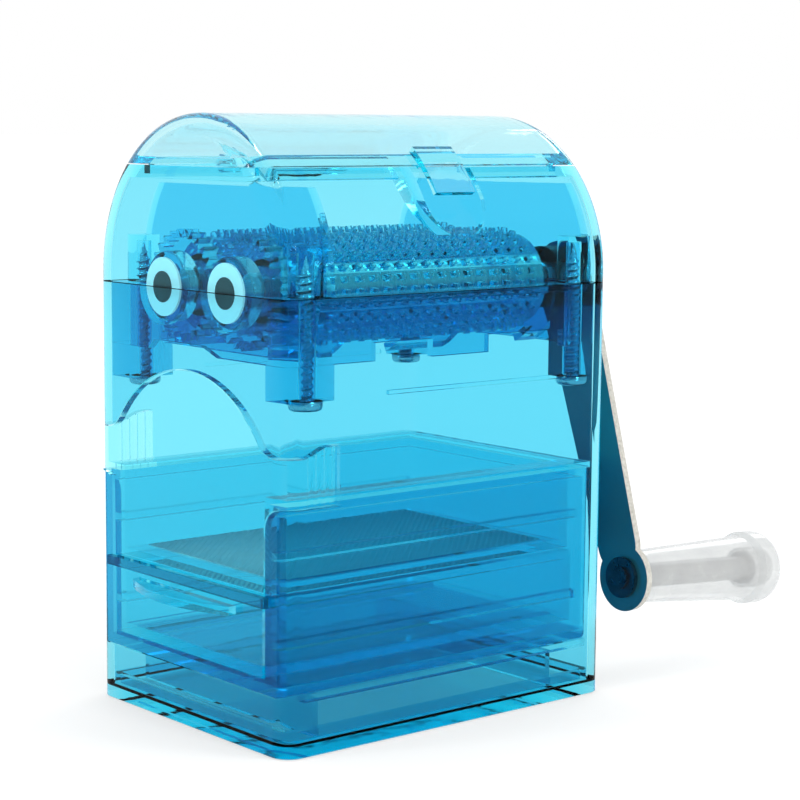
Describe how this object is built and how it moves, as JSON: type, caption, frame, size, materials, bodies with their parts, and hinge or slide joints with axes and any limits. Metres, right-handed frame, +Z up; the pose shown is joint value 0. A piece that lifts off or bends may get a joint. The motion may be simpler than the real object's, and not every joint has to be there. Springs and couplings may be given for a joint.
{
  "type": "hand-crank roller grinder",
  "caption": "Small clear-blue crank grinder: two geared toothed rollers under a hinged arched lid, over a pull-out collecting bin and a lower drawer.",
  "frame": {"origin": "centre of the flat underside of the base", "axes": "+Z up; -Y is the front with the ringed roller caps and the drawers; +Y is the crank end, the longest extent"},
  "size_m": [0.0757, 0.1347, 0.12],
  "materials": {
    "clear_blue": "polished, see-through blue",
    "clear_blue_cage": "polished, see-through blue",
    "clear_blue_bin": "polished, see-through blue",
    "clear_lid": "polished, see-through pale blue",
    "roller_blue": "polished, see-through blue",
    "bush_blue": "moulded",
    "screen_steel": "woven fine mesh",
    "shaft_steel": "turned",
    "arm_steel": "pressed and plated, dark",
    "screw_steel": "plated",
    "knob_clear": "polished, milky clear",
    "eye_white": "printed white",
    "eye_black": "printed black"
  },
  "bodies": {
    "case": {"base_plate": "clear_blue", "body_shell": "clear_blue", "drawer_cage": "clear_blue_cage", "roller_tray": "clear_blue_cage", "dome_cover": "clear_blue", "case_screws": "screw_steel", "lid_hinge_pin": "shaft_steel", "front_bush_drive": "bush_blue", "front_bush_idler": "bush_blue", "rear_bush_drive": "bush_blue", "rear_bush_idler": "bush_blue"},
    "lid": {"lid": "clear_lid"},
    "bin": {"collecting_bin": "clear_blue_bin", "sieve_screen": "screen_steel"},
    "drawer": {"lower_drawer": "clear_blue_bin"},
    "drive_train": {"drive_shaft": "shaft_steel", "drive_roller": "roller_blue", "drive_gear": "roller_blue", "drive_end_hub": "roller_blue", "drive_eye_ring": "eye_white", "drive_eye_pupil": "eye_black", "crank_hub": "bush_blue", "crank_arm": "arm_steel", "crank_washer": "screw_steel", "crank_screw": "screw_steel", "knob_axle": "screw_steel"},
    "idler_train": {"idler_shaft": "shaft_steel", "idler_roller": "roller_blue", "idler_gear": "roller_blue", "idler_end_hub": "roller_blue", "idler_eye_ring": "eye_white", "idler_eye_pupil": "eye_black"},
    "knob": {"knob": "knob_clear", "knob_cap": "knob_clear"}
  },
  "joints": [
    {"name": "crank_spin", "type": "hinge", "parent": "case", "child": "drive_train", "pos_m": [0.0105, 0, 0.086], "axis": [0, 1, 0], "continuous": true},
    {"name": "idler_spin", "type": "hinge", "parent": "case", "child": "idler_train", "pos_m": [-0.0105, 0, 0.086], "axis": [0, 1, 0], "continuous": true},
    {"name": "knob_spin", "type": "hinge", "parent": "drive_train", "child": "knob", "pos_m": [0.03484, 0.04599, 0.02422], "axis": [0.0256, 0.9976, -0.0649], "continuous": true},
    {"name": "lid_hinge", "type": "hinge", "parent": "case", "child": "lid", "pos_m": [-0.02477, 0, 0.1107], "axis": [0, -1, 0], "range_deg": [0, 105]},
    {"name": "bin_slide", "type": "slide", "parent": "case", "child": "bin", "axis": [0, -1, 0], "range_m": [0, 0.076]},
    {"name": "drawer_slide", "type": "slide", "parent": "case", "child": "drawer", "axis": [0, -1, 0], "range_m": [0, 0.078]}
  ],
  "couplings": [
    {"joint": "idler_spin", "follows": "crank_spin", "ratio": -1}
  ]
}
